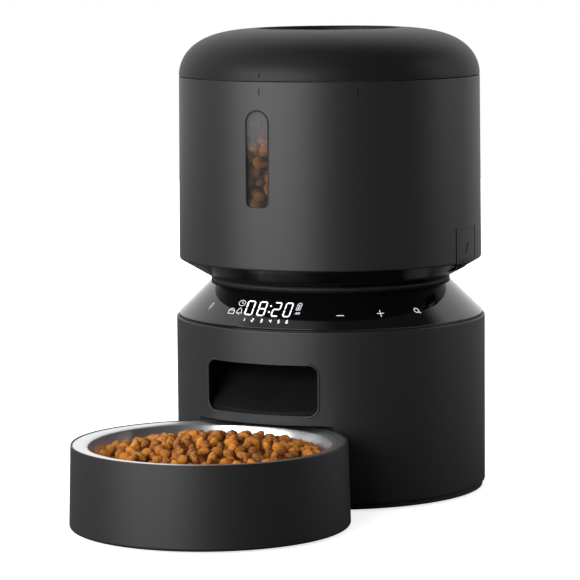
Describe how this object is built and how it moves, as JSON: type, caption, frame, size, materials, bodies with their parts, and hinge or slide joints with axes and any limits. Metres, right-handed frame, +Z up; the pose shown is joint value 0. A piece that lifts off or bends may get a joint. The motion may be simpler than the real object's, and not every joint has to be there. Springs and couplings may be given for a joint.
{
  "type": "automatic pet feeder",
  "caption": "Drum-shaped automatic pet feeder with a twist-lid hopper, sloped control ring, front outlet and a steel bowl in a holder that nests into the base.",
  "frame": {"origin": "middle of the footprint's box, on the floor", "axes": "+Z up, front (bowl) towards -Y, +X to the right seen from the front"},
  "size_m": [0.19, 0.3277, 0.2825],
  "materials": {
    "satin_black": "satin",
    "gloss_black": "gloss",
    "inner_black": "matte",
    "grey_plastic": "satin",
    "white_plastic": "satin",
    "clear": "gloss",
    "steel": "satin",
    "rubber": "matte",
    "cell_wrap": "satin",
    "board": "satin"
  },
  "bodies": {
    "base": {"base_shell": "satin_black", "bottom_cover": "inner_black", "base_feet": "rubber", "base_screws": "steel", "battery_tray": "inner_black", "battery_door": "inner_black", "battery_contacts": "steel", "battery_cells": "cell_wrap", "speaker": "inner_black", "main_board": "board", "power_inlet": "steel", "control_ring": "gloss_black", "display_module": "board", "touch_board": "board", "deck": "inner_black", "food_chute": "inner_black", "drop_sensors": "inner_black", "gear_case": "inner_black", "gear_motor": "steel"},
    "hopper": {"hopper_base": "gloss_black", "hopper_shell": "satin_black", "hopper_window": "clear", "hopper_funnel": "grey_plastic"},
    "release_tab_right": {"release_tab_right": "satin_black"},
    "release_tab_left": {"release_tab_left": "satin_black"},
    "rotor": {"portion_rotor": "grey_plastic", "stirrer": "grey_plastic"},
    "drive_gear": {"drive_gear": "white_plastic"},
    "drive_pinion": {"drive_pinion": "white_plastic"},
    "lid_insert": {"desiccant_holder": "white_plastic"},
    "lid": {"lid_shell": "satin_black", "lid_liner": "grey_plastic", "lid_seal": "rubber"},
    "bowl": {"bowl_holder": "satin_black", "holder_feet": "rubber", "steel_bowl": "steel"}
  },
  "joints": [
    {"name": "hopper_lift", "type": "slide", "parent": "base", "child": "hopper", "axis": [0, 0, 1], "range_m": [0, 0.08]},
    {"name": "tab_press_right", "type": "hinge", "parent": "hopper", "child": "release_tab_right", "pos_m": [0.08885, 0.0689, 0.1605], "axis": [0, 1, 0], "range_deg": [0, 4], "stiffness_Nm_per_rad": 2},
    {"name": "tab_press_left", "type": "hinge", "parent": "hopper", "child": "release_tab_left", "pos_m": [-0.08885, 0.0689, 0.1605], "axis": [0, -1, 0], "range_deg": [0, 4], "stiffness_Nm_per_rad": 2},
    {"name": "rotor_spin", "type": "hinge", "parent": "hopper", "child": "rotor", "pos_m": [0, 0.0689, 0.14], "axis": [0, 0, 1], "continuous": true},
    {"name": "drive_spin", "type": "hinge", "parent": "base", "child": "drive_gear", "pos_m": [0, 0.0689, 0.118], "axis": [0, 0, 1], "continuous": true},
    {"name": "pinion_spin", "type": "hinge", "parent": "base", "child": "drive_pinion", "pos_m": [0, 0.10101, 0.118], "axis": [0, 0, 1], "continuous": true},
    {"name": "lid_lift", "type": "slide", "parent": "hopper", "child": "lid_insert", "axis": [0, 0, 1], "range_m": [0, 0.06]},
    {"name": "lid_twist", "type": "hinge", "parent": "lid_insert", "child": "lid", "pos_m": [0, 0.0689, 0.255], "axis": [0, 0, 1], "range_deg": [0, 37]},
    {"name": "bowl_pull", "type": "slide", "parent": "base", "child": "bowl", "axis": [0, -1, 0], "range_m": [0, 0.06]}
  ],
  "couplings": [
    {"joint": "drive_spin", "follows": "rotor_spin", "ratio": 1},
    {"joint": "pinion_spin", "follows": "rotor_spin", "ratio": -3}
  ]
}
